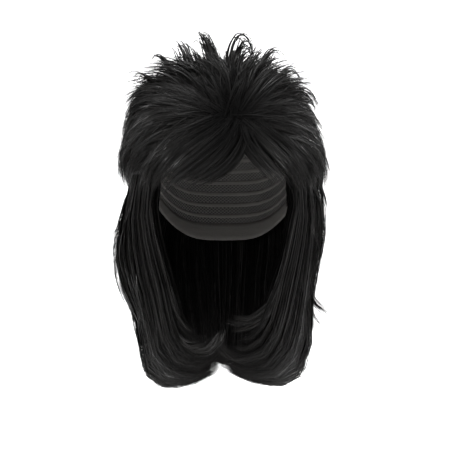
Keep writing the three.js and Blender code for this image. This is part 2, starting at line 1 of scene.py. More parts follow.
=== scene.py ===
import bpy
import numpy as np
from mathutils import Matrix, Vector


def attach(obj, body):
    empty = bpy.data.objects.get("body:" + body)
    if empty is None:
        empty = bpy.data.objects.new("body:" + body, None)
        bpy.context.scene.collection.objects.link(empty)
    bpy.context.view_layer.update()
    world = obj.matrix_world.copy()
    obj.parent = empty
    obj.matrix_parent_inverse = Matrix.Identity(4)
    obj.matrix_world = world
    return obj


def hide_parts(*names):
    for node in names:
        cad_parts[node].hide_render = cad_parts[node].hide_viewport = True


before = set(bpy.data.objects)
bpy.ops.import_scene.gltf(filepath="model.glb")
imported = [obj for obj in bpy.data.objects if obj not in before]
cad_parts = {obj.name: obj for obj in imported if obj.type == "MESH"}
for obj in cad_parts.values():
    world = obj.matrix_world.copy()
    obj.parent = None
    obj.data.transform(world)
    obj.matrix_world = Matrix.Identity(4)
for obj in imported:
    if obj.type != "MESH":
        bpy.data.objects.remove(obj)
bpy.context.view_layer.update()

MM = 0.001
# How far the hair mass reaches to each side, to the front, to the back, up and down.
HALF_WIDTH, FRONT, BACK, RISE, DROP = 104.0, 104.0, 136.0, 27.0, 290.0
# The power of the rounded oval that a level cut through the mass has.
ROUNDNESS = 2.2
# The form that the cap's inside takes, as quarter ellipsoids about an upright axis through the origin.
CAP_HALF_WIDTH, CAP_FRONT, CAP_BACK, CAP_HEIGHT = 75.0, 91.0, 97.0, 94.0
# The whorl that the short hair spreads from: its place, the depth and width of its dip, and the reach of the
# painted shade round it across, back and up.
WHORL = np.array([9.0, -90.0, -21.0])
WHORL_DEPTH, WHORL_SPREAD, WHORL_SHADE = 9.0, 27.0, (44.0, 62.0, 64.0)
CROWN_CENTRE = np.array([0.0, 12.0, -52.0])
# The arch that the short layers leave open in front.
ARCH_ACROSS, ARCH_HALF_WIDTH, ARCH_TOP, ARCH_SPRING = 2.0, 70.0, -40.0, -108.0
# Where the long sides and the back come out from under the short layers, as drops below the crown.
SIDE_HEM, BACK_HEM = 92, 118
# How many points the ways of the short layers and of the long hair have.
CROWN_STEPS, LONG_STEPS = 14, 20
# The grid on which the crown's form is worked out, in degrees: its step and its lowest elevation.
GRID_STEP, GRID_LOW = 3, -72
# How far the tips of the fan may reach to the left and right.
FAN_REACH = -111, 108
# A share whose multiples never gather, so that neighbouring strands get unlike numbers.
GOLDEN_SHARE = 0.618034
# How many times as tall as wide a strand's cell in the OFBake map is.
CELL_HEIGHT = 7

# The outline of the hair mass from its foot up: level as a share of the drop or the rise, then its reach to
# the left, right, front and back as shares of the sizes above.
TO_LEFT, TO_RIGHT, TO_FRONT, TO_BACK = 1, 2, 3, 4
HAIR_FORM = np.array([
    (-1.05, 0.68, 0.64, 0.80, 0.86),
    (-0.95, 0.80, 0.80, 0.83, 0.83),
    (-0.88, 0.80, 0.83, 0.82, 0.80),
    (-0.81, 0.83, 0.86, 0.80, 0.78),
    (-0.73, 0.93, 0.86, 0.78, 0.77),
    (-0.655, 0.98, 0.86, 0.74, 0.78),
    (-0.585, 1.02, 0.93, 0.72, 0.81),
    (-0.48, 0.99, 0.95, 0.74, 0.88),
    (-0.38, 0.96, 0.96, 0.82, 0.95),
    (-0.31, 0.97, 0.97, 0.92, 0.99),
    (-0.24, 1.00, 0.97, 0.96, 1.00),
    (-0.155, 0.97, 0.92, 0.93, 0.98),
    (-0.07, 0.94, 0.86, 0.80, 0.92),
    (0.0, 0.88, 0.78, 0.64, 0.82),
    (0.46, 0.72, 0.65, 0.48, 0.66),
    (0.86, 0.40, 0.38, 0.27, 0.42),
    (1.0, 0.06, 0.06, 0.06, 0.14),
])

# Standing tufts: the root and the tip as across, back and height, then the width.
STANDING_TUFTS = [
    ((-9, -22, 16), (-24, -14, 65), 12),
    ((-5, -22, 16), (-17, -13, 63), 12),
    ((0, -24, 16), (-10, -11, 51), 14),
    ((8, -23, 16), (18, -16, 59), 15),
    ((17, -19, 16), (34, -11, 46), 15),
    ((-19, -20, 16), (-34, -14, 49), 15),
    ((-31, -16, 16), (-50, -11, 50), 16),
    ((-42, -3, 16), (-69, -3, 35), 17),
    ((-52, 14, 15), (-83, 16, 13), 18),
    ((29, -14, 16), (52, -8, 43), 16),
    ((42, 5, 16), (71, 5, 19), 18),
    ((2, 5, 20), (5, 19, 49), 17),
    ((-21, 14, 19), (-42, 33, 43), 18),
    ((23, 16, 19), (44, 35, 40), 18),
    ((0, 30, 19), (-4, 63, 40), 19),
    ((-23, 46, 18), (-35, 84, 27), 19),
    ((23, 49, 18), (35, 87, 24), 19),
]

# Where the fan of hair above the whorl ends in front view, from low on the left over the top to the right.
FAN_TIPS = [
    (-109, -70), (-109, -48), (-109, -26), (-108, -4), (-102, 17), (-90, 32), (-73, 42), (-58, 44), (-45, 51),
    (-33, 48), (-22, 60), (-11, 45), (-4, 33), (4, 40), (19, 58), (29, 50), (41, 48), (54, 47), (71, 42),
    (88, 28), (96, 11), (100, -6), (102, -26), (103, -48), (104, -70),
]

# Single arched wisps on top, each from its root over its highest point to its hanging tip.
ARCHED_WISPS = [
    [(9, -38, 19), (5, -32, 34), (8, -26, 50), (15, -19, 61), (23, -10, 60), (28, -4, 51), (26, 2, 39)],
    [(13, -36, 18), (11, -30, 32), (14, -22, 46), (20, -14, 52), (25, -8, 47), (26, -2, 38)],
    [(16, -34, 18), (17, -26, 31), (22, -16, 42), (30, -8, 47), (36, 0, 42)],
    [(-6, -38, 19), (-9, -30, 36), (-15, -20, 53), (-22, -12, 65), (-27, -6, 67)],
    [(-10, -38, 19), (-14, -30, 36), (-20, -20, 52), (-27, -10, 60), (-33, -2, 55)],
    [(-28, -36, 17), (-36, -24, 36), (-42, -12, 50), (-47, -4, 53), (-52, 3, 46)],
    [(-44, -34, 12), (-57, -24, 30), (-66, -20, 39), (-72, -18, 38), (-73, -18, 30)],
    [(-60, -40, 2), (-75, -28, 15), (-84, -24, 20), (-89, -22, 18), (-91, -22, 10)],
    [(-30, -36, 12), (-47, -28, 30), (-61, -22, 35), (-67, -20, 30), (-66, -19, 25)],
    [(-40, -40, 6), (-55, -34, 14), (-69, -28, 16), (-81, -24, 14), (-87, -22, 10)],
    [(-52, -42, 0), (-70, -34, 7), (-84, -26, 5), (-91, -24, -1), (-95, -23, -8)],
    [(-22, -36, 14), (-33, -30, 26), (-42, -20, 41), (-45, -16, 47), (-48, -14, 45)],
    [(-12, -36, 14), (-21, -30, 26), (-26, -22, 37), (-29, -18, 42), (-32, -16, 40)],
    [(32, -32, 18), (43, -22, 38), (50, -19, 45), (57, -18, 42), (60, -18, 34)],
    [(48, -36, 10), (62, -26, 24), (71, -22, 26), (77, -20, 20), (79, -20, 12)],
    [(62, -40, -6), (78, -30, 4), (87, -26, 0), (92, -24, -8), (94, -24, -18)],
    [(14, -36, 10), (23, -32, 25), (34, -26, 32), (45, -22, 33), (51, -20, 29)],
    [(30, -38, 6), (40, -34, 16), (54, -28, 20), (64, -24, 20), (71, -22, 15)],
    [(44, -40, 2), (58, -34, 11), (67, -28, 11), (74, -25, 9), (77, -24, 1)],
    [(4, 10, 20), (8, 22, 40), (10, 34, 50), (8, 46, 48), (4, 54, 38)],
    [(-24, 30, 16), (-36, 44, 34), (-42, 56, 40), (-46, 68, 34), (-46, 76, 24)],
    [(26, 32, 16), (38, 46, 32), (44, 58, 36), (48, 70, 28), (46, 78, 18)],
]

# The fringe in front view, each lock from its root under the whorl to its tip as across and height.
FRINGE_LEFT = [
    [(20, -34), (22, -48), (19, -62), (11, -75), (-3, -86), (-20, -93)],
    [(17, -33), (15, -48), (6, -64), (-8, -78), (-26, -89), (-42, -94)],
    [(13, -31), (6, -46), (-9, -62), (-27, -77), (-45, -89), (-60, -97)],
    [(8, -29), (-5, -43), (-24, -58), (-43, -73), (-58, -87), (-68, -100)],
    [(2, -26), (-16, -37), (-40, -51), (-58, -67), (-69, -85), (-75, -105)],
    [(-4, -22), (-26, -31), (-52, -43), (-68, -60), (-78, -82), (-82, -108)],
]
FRINGE_RIGHT = [
    [(19, -34), (20, -48), (24, -60), (32, -70), (42, -80), (54, -91)],
    [(21, -33), (26, -47), (36, -61), (49, -75), (61, -88), (70, -100)],
    [(24, -30), (36, -42), (52, -57), (67, -73), (77, -90), (83, -106)],
    [(29, -25), (45, -35), (63, -49), (79, -66), (89, -86), (93, -108)],
]

# The long sides in front view, from the innermost wisps to the outermost lock.
SIDE_LEFT = [
    [(-76, -76), (-73, -100), (-70, -122), (-66, -145), (-58, -168),
     (-52, -188), (-48, -206), (-48, -222), (-50, -238)],
    [(-80, -76), (-78, -105), (-75, -135), (-68, -165), (-60, -194),
     (-54, -222), (-44, -252), (-20, -264), (4, -238)],
    [(-88, -76), (-87, -108), (-84, -142), (-79, -172), (-71, -203),
     (-65, -232), (-56, -259), (-29, -275), (6, -252)],
    [(-96, -76), (-97, -110), (-98, -144), (-94, -176), (-85, -208),
     (-78, -238), (-71, -266), (-41, -286), (6, -266)],
    [(-103, -76), (-102, -112), (-110, -146), (-111, -178), (-102, -210),
     (-86, -240), (-87, -270), (-66, -295), (2, -275)],
]
SIDE_RIGHT = [
    [(74, -76), (72, -100), (66, -122), (62, -145), (58, -165),
     (50, -186), (45, -204), (45, -220), (40, -238)],
    [(79, -76), (77, -105), (73, -135), (67, -165), (59, -194),
     (53, -222), (41, -250), (16, -263), (-11, -250)],
    [(86, -76), (84, -108), (81, -142), (76, -172), (70, -203),
     (63, -232), (52, -260), (27, -275), (-13, -259)],
    [(93, -76), (92, -110), (90, -144), (87, -176), (83, -208),
     (79, -240), (71, -268), (40, -285), (-9, -267)],
    [(99, -76), (100, -112), (101, -146), (94, -178), (89, -206),
     (92, -240), (91, -269), (68, -294), (-3, -276)],
]

# Single wisps of each side in front view: those that flick out at its edge, then those that stray inward.
SIDE_WISPS_LEFT = [
    [(-99, -92), (-103, -112), (-106, -130), (-111, -143), (-118, -149)],
    [(-99, -98), (-104, -118), (-107, -132), (-112, -139), (-119, -141)],
    [(-101, -116), (-105, -130), (-108, -142), (-113, -152), (-119, -158)],
    [(-101, -104), (-104, -124), (-106, -144), (-109, -158), (-114, -167)],
    [(-60, -196), (-55, -220), (-46, -240), (-32, -250), (-16, -246)],
    [(-58, -214), (-50, -236), (-36, -252), (-18, -254), (-3, -236)],
    [(-56, -226), (-44, -247), (-26, -258), (-8, -254), (1, -232)],
]
SIDE_WISPS_RIGHT = [
    [(96, -84), (102, -94), (104, -104), (103, -113), (100, -120)],
    [(97, -78), (102, -86), (103, -98), (104, -108), (105, -116)],
    [(90, -168), (89, -188), (92, -204), (98, -215), (106, -222)],
    [(90, -172), (89, -192), (93, -207), (100, -216), (109, -220)],
    [(90, -176), (89, -194), (92, -210), (100, -221), (109, -229)],
    [(89, -186), (88, -204), (91, -218), (96, -229), (103, -236)],
    [(62, -186), (52, -204), (40, -216), (26, -224), (10, -222)],
    [(60, -192), (50, -210), (36, -222), (20, -230), (4, -226)],
    [(58, -198), (48, -216), (34, -228), (18, -234), (6, -235)],
    [(54, -232), (42, -250), (26, -261), (8, -262), (-8, -246)],
]

# How far down the long hair ends by degrees round from the front.
LONG_HEM = np.array([(0, 281), (45, 290), (70, 292), (95, 290), (120, 287), (150, 288), (180, 291)], float)


# forms that the hair lies on
def unit(v):
    return v / np.maximum(np.linalg.norm(v, axis=-1, keepdims=True), 1e-9)


def ease(value, low, high):
    """A smooth step from 0 at low to 1 at high."""
    share = np.clip((value - low) / (high - low), 0, 1)
    return share * share * (3 - 2 * share)


def reach(z, column):
    """How far the mass reaches at a height, as a share, by a column of its outline."""
    level = np.where(z > 0, z / RISE, z / DROP)
    return np.interp(level, HAIR_FORM[:, 0], HAIR_FORM[:, column])


def mass_point(turn, z):
    """Where the mass lies at so many degrees round from the front and at a height."""
    s, c = np.sin(np.radians(turn)), np.cos(np.radians(turn))
    across = np.where(s < 0, reach(z, TO_LEFT), reach(z, TO_RIGHT)) * HALF_WIDTH
    along = np.where(c > 0, reach(z, TO_FRONT) * FRONT, reach(z, TO_BACK) * BACK)
    radius = (np.abs(s) ** ROUNDNESS + np.abs(c) ** ROUNDNESS) ** (-1 / ROUNDNESS)
    return np.stack([across * s * radius, -along * c * radius, z + 0 * s], -1)


def front_point(x, z, lift=0.0):
    """Where the mass lies at a place in front view."""
    across = np.where(x < 0, reach(z, TO_LEFT), reach(z, TO_RIGHT)) * HALF_WIDTH
    share = np.minimum(np.abs(x) / across, 0.999)
    y = -reach(z, TO_FRONT) * FRONT * (1 - share**ROUNDNESS) ** (1 / ROUNDNESS)
    return np.stack([x, y, z + 0 * y], -1) + lift_of(x, y, lift)


def lift_of(x, y, lift):
    """The move that brings a place on the mass so far off it."""
    out = unit(np.stack([x / HALF_WIDTH**2, y / FRONT**2, 0 * x], -1))
    return out * np.asarray(lift)[..., None]


def crown_radii():
    """How far the mass reaches from the middle of the crown, by azimuth and elevation."""
    azimuths = np.radians(np.arange(0, 361, GRID_STEP))
    elevations = np.radians(np.arange(GRID_LOW, 91, GRID_STEP))
    azimuth, elevation = np.meshgrid(azimuths, elevations)
    ray = np.stack([
        np.sin(azimuth) * np.cos(elevation),
        -np.cos(azimuth) * np.cos(elevation),
        np.sin(elevation),
    ], -1)
    near = np.full(azimuth.shape, 5.0)
    far = np.full(azimuth.shape, 300.0)
    for _ in range(22):
        middle = (near + far) / 2
        p = CROWN_CENTRE + ray * middle[..., None]
        across = np.where(p[..., 0] < 0, reach(p[..., 2], TO_LEFT), reach(p[..., 2], TO_RIGHT)) * HALF_WIDTH
        along = np.where(p[..., 1] < 0, reach(p[..., 2], TO_FRONT) * FRONT, reach(p[..., 2], TO_BACK) * BACK)
        size = (np.abs(p[..., 0]) / across) ** ROUNDNESS + (np.abs(p[..., 1]) / along) ** ROUNDNESS
        inside = (size < 1) & (p[..., 2] < RISE)
        near, far = np.where(inside, middle, near), np.where(inside, far, middle)
    for _ in range(2):
        rows = np.pad(near, ((1, 1), (0, 0)), mode="edge")
        near = (rows[:-2] + 2 * rows[1:-1] + rows[2:]) / 4
    return near


CROWN_RADII = crown_radii()


def crown_radius(ray):
    """How far the mass reaches from the middle of the crown in a direction."""
    azimuth = np.degrees(np.arctan2(ray[..., 0], -ray[..., 1])) % 360 / GRID_STEP
    elevation = (np.degrees(np.arcsin(np.clip(ray[..., 2], -1, 1))) - GRID_LOW) / GRID_STEP
    elevation = np.clip(elevation, 0, CROWN_RADII.shape[0] - 1.001)
    i, j = elevation.astype(int), np.minimum(azimuth.astype(int), CROWN_RADII.shape[1] - 2)
    f, g = elevation - i, azimuth - j
    low = CROWN_RADII[i, j] * (1 - g) + CROWN_RADII[i, j + 1] * g
    high = CROWN_RADII[i + 1, j] * (1 - g) + CROWN_RADII[i + 1, j + 1] * g
    return low * (1 - f) + high * f


def crown_point(ray, lift=0.0, depth=WHORL_DEPTH):
    """Where the mass lies in a direction from the middle of the crown, with its dip at the whorl."""
    p = CROWN_CENTRE + ray * crown_radius(ray)[..., None]
    dip = depth * np.exp(-(((p - WHORL) ** 2).sum(-1)) / WHORL_SPREAD**2)
    return p + ray * (lift - dip)[..., None]


def standing(tips, length, droop, lean, rng, steps=16):
    """Ways that leave the crown flat, run away from the whorl and rise to tips that arch over and droop."""
    whorl = whorls(len(tips), rng)
    outer = np.sign(tips[:, :1])
    flank = ease(np.abs(tips[:, :1]), 35, 85)
    fall_out = outer * (0.45 + 0.5 * flank)
    swing = np.stack([0.15 * outer[:, 0] - fall_out[:, 0], 0 * droop, 0.75 - 0.15 * flank[:, 0]], -1)
    top = tips + swing * droop[:, None]
    far = np.linalg.norm(top - CROWN_CENTRE, axis=1)
    ray = (top - CROWN_CENTRE) / far[:, None]
    angle = np.arccos(np.clip((ray * whorl).sum(1), -1, 1))
    t = np.linspace(0, 1, steps)
    first = np.clip(1 - length / (angle * 95), 0.04, 0.9)[:, None]
    share = (first + (1 - first) * t)[..., None]
    wide = angle[:, None, None]
    u = unit(np.sin((1 - share) * wide) * whorl[:, None] + np.sin(share * wide) * ray[:, None])
    stand = (far - crown_radius(ray))[:, None] * t**1.9 - 6 * (1 - t) ** 2
    side = unit(np.cross(u, np.gradient(u, axis=1)))
    ways = crown_point(u, stand) + side * (lean[:, None] * t**3)[..., None]
    over = droop[:, None] * np.clip((t - 0.45) / 0.55, 0, 1) ** 2
    return ways + np.stack([fall_out * over, 0.2 * over, -over], -1)


def whorls(count, rng):
    """Where the hair of each lock spreads from, as directions: around the whorl, which is loose."""
    loose = rng.normal(0, 1, (count, 3)) * (8, 2, 6)
    return unit(WHORL + loose - CROWN_CENTRE)


def combed(rays, length, steps, bend, rng):
    """Ways over the crown that run away from the whorl, and fall more the further they are from it."""
    whorl = whorls(len(rays), rng)
    ways = [rays]
    for _ in range(steps - 1):
        u = ways[-1]
        toward = (u * whorl).sum(1)
        away = unit(u * toward[:, None] - whorl)
        down = u * u[:, 2:] - np.array([0, 0, 1.0])
        fall = ease(np.degrees(np.arccos(np.clip(toward, -1, 1))), 34, 108)[:, None]
        flow = away * (1 - fall) + down * fall * 1.3
        flow = flow + np.cross(u, flow) * bend[:, None]
        ways.append(unit(u + flow * (length / (steps - 1) / 105)[:, None]))
    return np.stack(ways, 1)


def outward(p):
    """Out of the mass: level at its sides, and upward over the crown."""
    rise = np.maximum(p[..., 2] + 30, 0) / 45
    return unit(np.stack([p[..., 0] / HALF_WIDTH, p[..., 1] / BACK, rise], -1))


def evenly(paths, steps):
    """Points at even distances along each path."""
    run = np.linalg.norm(np.diff(paths, axis=1), axis=2).cumsum(1)
    run = np.concatenate([np.zeros((len(paths), 1)), run], 1)
    out = np.empty((len(paths), steps, 3))
    for i, (path, so_far) in enumerate(zip(paths, run)):
        at = np.linspace(0, so_far[-1], steps)
        for k in range(3):
            out[i, :, k] = np.interp(at, so_far, path[:, k])
    return out


def smooth_curve(points, steps):
    """Even points along smooth curves through rows of points."""
    points = np.asarray(points, float)
    p = np.concatenate([2 * points[:, :1] - points[:, 1:2], points, 2 * points[:, -1:] - points[:, -2:-1]], 1)
    spans = points.shape[1] - 1
    t = np.linspace(0, spans, spans * 10 + 1)
    i = np.minimum(t.astype(int), spans - 1)
    f = (t - i)[None, :, None]
    a, b, c, d = p[:, i], p[:, i + 1], p[:, i + 2], p[:, i + 3]
    fine = 0.5 * (2 * b + (c - a) * f + (2 * a - 5 * b + 4 * c - d) * f**2 + (3 * b - a - 3 * c + d) * f**3)
    return evenly(fine, steps)


# strands
def tress(guides, count, width, depth, rng, steps=9, gather=(0.8, 1.0, 0.12), short=0.25, stray=0.6,
          thick=0.62, tone_and_shade=0.55):
    """Strands in locks: each guide gets count of them, spread across it and drawn together toward its tip.

    gather says how wide the lock is at its root, near its middle and at its tip, short how much the strands
    differ in length, stray how far they wander, thick how wide they are and tone how light, which for deep
    and inner locks includes painted shade.
    """
    which = np.repeat(np.arange(len(guides)), count)
    n = len(which)
    along = unit(np.gradient(guides, axis=1))
    side = unit(np.cross(along, outward(guides)))
    up = np.cross(side, along)
    place, out = rng.uniform(0, 2 * np.pi, n), np.sqrt(rng.random(n))
    a = out * np.cos(place) * np.broadcast_to(width, len(guides))[which] / 2
    b = out * np.sin(place) * np.broadcast_to(depth, len(guides))[which] / 2
    last = 1 - short * rng.random(n) ** 1.6
    share = last[:, None] * np.linspace(0, 1, steps)
    spot = share * (guides.shape[1] - 1)
    i = np.minimum(spot.astype(int), guides.shape[1] - 2)
    f = (spot - i)[..., None]

    def at(v):
        return v[which[:, None], i] * (1 - f) + v[which[:, None], i + 1] * f

    s, u = unit(at(side)), unit(at(up))
    draw = np.interp(share, [0, 0.4, 1], gather)
    loose = np.where(rng.random(n) < 0.06, 3.0, 1.0) * stray

    def waver():
        size = (loose * rng.normal(0, 1, n))[:, None]
        wave = share * rng.uniform(2.0, 6.0, n)[:, None] + rng.uniform(0, 6.28, n)[:, None]
        return size * np.sin(wave) * (0.25 + share**1.5 * 1.6)

    beside = a[:, None] * draw + waver()
    above = b[:, None] * draw + waver() * 0.7
    path = at(guides) + s * beside[..., None] + u * above[..., None]
    roll = rng.normal(0, 0.5, n)[:, None] + rng.normal(0, 0.5, n)[:, None] * (share - 0.5)
    across = s * np.cos(roll)[..., None] + u * np.sin(roll)[..., None]
    lock_tone_and_shade = tone_and_shade + rng.normal(0, 0.23, len(guides))
    widths = rng.uniform(0.75, 1.25, n) * thick
    tones_and_shade = np.clip(lock_tone_and_shade[which] + rng.normal(0, 0.16, n), 0, 1)
    return path, across, widths, tones_and_shade


def strand_faces(steps):
    """The faces of one strand: a strip of quads and the triangle at its tip, by the numbers of its points."""
    quads = [(2 * j, 2 * j + 1, 2 * j + 3, 2 * j + 2) for j in range(steps - 2)]
    return quads, (2 * steps - 4, 2 * steps - 3, 2 * steps - 2)


def hair_piece(name, node, tresses):
    """One mesh of all the strands of a node, as flat fibres that taper to a point."""
    points, faces, tones_and_shade, shares, picks, cells = [], [], [], [], [], []
    total = sum(len(t[0]) for t in tresses)
    columns = int(np.ceil(np.sqrt(total * CELL_HEIGHT)))
    rows = int(np.ceil(total / columns))
    base = first = 0
    for path, across, width, tone_and_shade in tresses:
        n, steps = path.shape[:2]
        taper = np.interp(np.linspace(0, 1, steps), [0, 0.12, 0.65, 1], [0.7, 1.0, 0.85, 0.0])
        half = across * (width[:, None] * taper / 2)[..., None]
        pair = np.stack([path - half, path + half], 2)[:, :-1].reshape(n, 2 * steps - 2, 3)
        points.append(np.concatenate([pair, path[:, -1:]], 1).reshape(-1, 3))
        share = np.append(np.repeat(np.linspace(0, 1, steps)[:-1], 2), 1.0)
        # Painted shade: the tone darkens toward the whorl, standing in for the shadow among the roots there.
        shaded = tone_and_shade[:, None] * (1 - np.exp(-(((path - WHORL) / WHORL_SHADE) ** 2).sum(-1)))
        tones_and_shade.append(np.concatenate([np.repeat(shaded[:, :-1], 2, axis=1), shaded[:, -1:]], 1).ravel())
        shares.append(np.tile(share, n))
        k = np.arange(first, first + n)
        picks.append(np.repeat(k * GOLDEN_SHARE % 1, 2 * steps - 1))
        left_right = np.append(np.tile([0.12, 0.88], steps - 1), 0.5)
        u = (k % columns)[:, None] + left_right
        v = (k // columns)[:, None] + 0.04 + 0.92 * share
        cells.append(np.stack([u / columns, v / rows], -1).reshape(-1, 2))
        quads, tip = strand_faces(steps)
        start = base + np.arange(n)[:, None, None] * (2 * steps - 1)
        faces += (start + np.array(quads)).reshape(-1, 4).tolist()
        faces += (start[:, 0] + np.array(tip)).tolist()
        base += n * (2 * steps - 1)
        first += n
    mesh = bpy.data.meshes.new(name)
    mesh.from_pydata((np.concatenate(points) * MM).tolist(), [], faces)
    for label, values in (("tone_and_shade", tones_and_shade), ("along", shares), ("strand", picks)):
        layer = mesh.attributes.new(label, "FLOAT", "POINT")
        layer.data.foreach_set("value", np.concatenate(values).astype(np.float32))
    corner = np.empty(len(mesh.loops), np.int32)
    mesh.loops.foreach_get("vertex_index", corner)
    layer = mesh.uv_layers.new(name="OFBake")
    layer.data.foreach_set("uv", np.concatenate(cells)[corner].astype(np.float32).ravel())
    dress(name, mesh, node, black_hair)


def dress(name, mesh, node, material):
    """Put a mesh in the scene as the look of a node."""
    mesh.materials.append(material)
    mesh.shade_smooth()
    piece = bpy.data.objects.new(name, mesh)
    bpy.context.scene.collection.objects.link(piece)
    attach(piece, "root")
    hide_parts(node)


def shell(name, node, outer, thickness, material, closed=False):
    """A closed sheet of even thickness under a grid of points, which runs right round where closed."""
    inward = CROWN_CENTRE - outer
    inward[..., 2] = np.minimum(inward[..., 2], 0) * (outer[..., 2] > CROWN_CENTRE[2])
    inner = outer + unit(inward) * thickness
    sheet_mesh(name, node, outer, inner, material, closed)


def sheet_mesh(name, node, outer, inner, material, closed=True):
    """A closed ring or strip of cloth between two grids of points."""
    rows, steps = outer.shape[:2]
    points = np.concatenate([outer.reshape(-1, 3), inner.reshape(-1, 3)])
    under = rows * steps
    last = (rows - 1) * steps
    faces = []
    for j in range(steps if closed else steps - 1):
        k = (j + 1) % steps
        for a in range(0, last, steps):
            b = a + steps
            faces.append((a + j, b + j, b + k, a + k))
            faces.append((a + k + under, b + k + under, b + j + under, a + j + under))
        faces.append((last + j, last + j + under, last + k + under, last + k))
        faces.append((k, k + under, j + under, j))
    if not closed:
        for a in range(0, last, steps):
            b, c = a + steps, steps - 1
            faces.append((a, a + under, b + under, b))
            faces.append((b + c, b + c + under, a + c + under, a + c))
    mesh = bpy.data.meshes.new(name)
    mesh.from_pydata((points * MM).tolist(), [], faces)
    dress(name, mesh, node, material)


# shaders
class Wire:
    """A node's output, with which shader maths is written as plain expressions."""

    def __init__(self, shader, socket):
        self.shader, self.socket = shader, socket

    def maths(self, operation, *values):
        return self.shader.node("ShaderNodeMath", {"operation": operation}, *values)

    def __add__(self, other):
        return self.maths("ADD", self, other)

    def __sub__(self, other):
        return self.maths("SUBTRACT", self, other)

    def __rsub__(self, other):
        return self.maths("SUBTRACT", other, self)

    def __mul__(self, other):
        return self.maths("MULTIPLY", self, other)

    def __pow__(self, other):
        return self.maths("POWER", self, other)

    def __mod__(self, other):
        return self.maths("FLOORED_MODULO", self, other)

    __radd__ = __add__
    __rmul__ = __mul__


class Shader:
    """A material and the nodes that feed its one shader."""

    def __init__(self, name):
        self.material = bpy.data.materials.new(name)
        self.material.use_nodes = True
        self.tree = self.material.node_tree
        self.surface = self.tree.nodes["Principled BSDF"]

    def node(self, kind, settings=None, *values, out=0, **named):
        node = self.tree.nodes.new(kind)
        for key, value in (settings or {}).items():
            setattr(node, key, value)
        for socket, value in [*zip(node.inputs, values), *((node.inputs[k], v) for k, v in named.items())]:
            self.feed(socket, value)
        return Wire(self, node.outputs[out])

    def feed(self, socket, value):
        if isinstance(value, Wire):
            self.tree.links.new(value.socket, socket)
        else:
            socket.default_value = value

    def finish(self, **sockets):
        for key, value in sockets.items():
            self.feed(self.surface.inputs[key.replace("_", " ")], value)
        return self.material

    def attribute(self, name):
        return self.node("ShaderNodeAttribute", {"attribute_name": name}, out="Fac")

    def place(self):
        return self.node("ShaderNodeTexCoord", out="Object")

    def noise(self, vector, scale, detail=2.0):
        return self.node("ShaderNodeTexNoise", None, Vector=vector, Scale=scale, Detail=detail)

    def blend(self, share, first, second):
        mix = self.tree.nodes.new("ShaderNodeMix")
        mix.data_type = "RGBA"
        for socket, value in ((mix.inputs["Factor"], share), (mix.inputs[6], first), (mix.inputs[7], second)):
            self.feed(socket, value)
        return Wire(self, mix.outputs[2])

    def bump(self, height, strength, distance):
        return self.node("ShaderNodeBump", None, Strength=strength, Distance=distance, Height=height)


def make_black_hair():
    """Glossy black fibre with flecks along each strand. The darker a strand, the less it reflects."""
    shader = Shader("black_hair")
    tone_and_shade, along, strand = (shader.attribute(name) for name in ("tone_and_shade", "along", "strand"))
    ticks = shader.node("ShaderNodeCombineXYZ", None, along * 46, strand * 900, 0.0)
    flecks = shader.noise(ticks, 1.0, 3.0)
    # Each strand's tone here includes painted shade: darker round the whorl and in deep and inner locks.
    share = tone_and_shade * 0.65 + flecks * 0.3 + along * 0.1
    colour = shader.blend(share, (0.0006, 0.0006, 0.0007, 1), (0.0048, 0.0043, 0.0039, 1))
    shade = 1.05 - share * 1.8
    return shader.finish(
        Base_Color=colour,
        Metallic=shade.maths("MAXIMUM", shade, 0.0),
        Roughness=0.76 - tone_and_shade * 0.58 + flecks * 0.08,
        Normal=shader.bump(flecks, 0.25, 0.0002),
        Specular_IOR_Level=0.105,
    )


def make_packed_hair():
    """Dull black hair, combed downward, for the closed forms under the strands."""
    shader = Shader("packed_hair")
    combed_way = shader.node("ShaderNodeMapping", None, Vector=shader.place(), Scale=(900.0, 900.0, 40.0))
    furrows = shader.noise(combed_way, 1.0, 4.0)
    colour = shader.blend(furrows, (0.001, 0.001, 0.001, 1), (0.004, 0.0036, 0.0032, 1))
    return shader.finish(
        Base_Color=colour,
        Metallic=0.6,
        Roughness=0.5 + furrows * 0.2,
        Normal=shader.bump(furrows, 0.8, 0.0015),
        Specular_IOR_Level=0.08,
    )


black_hair = make_black_hair()
packed_hair = make_packed_hair()


# the hair, piece by piece
def in_front_arch(p):
    """Inside the arch that the short layers leave open in front."""
    inside = np.abs(p[..., 0] - ARCH_ACROSS) / ARCH_HALF_WIDTH
    top = ARCH_SPRING + (ARCH_TOP - ARCH_SPRING) * np.sqrt(np.clip(1 - inside**2, 0, 1))
    return (inside < 1) & (p[..., 2] < top) & (p[..., 1] < 0)


def direction(turn, tilt):
    """A direction by degrees round from the front and up from level."""
    turn, tilt = np.radians(turn), np.radians(tilt)
    return np.stack([np.sin(turn) * np.cos(tilt), -np.cos(turn) * np.cos(tilt), np.sin(tilt) + 0 * turn], -1)


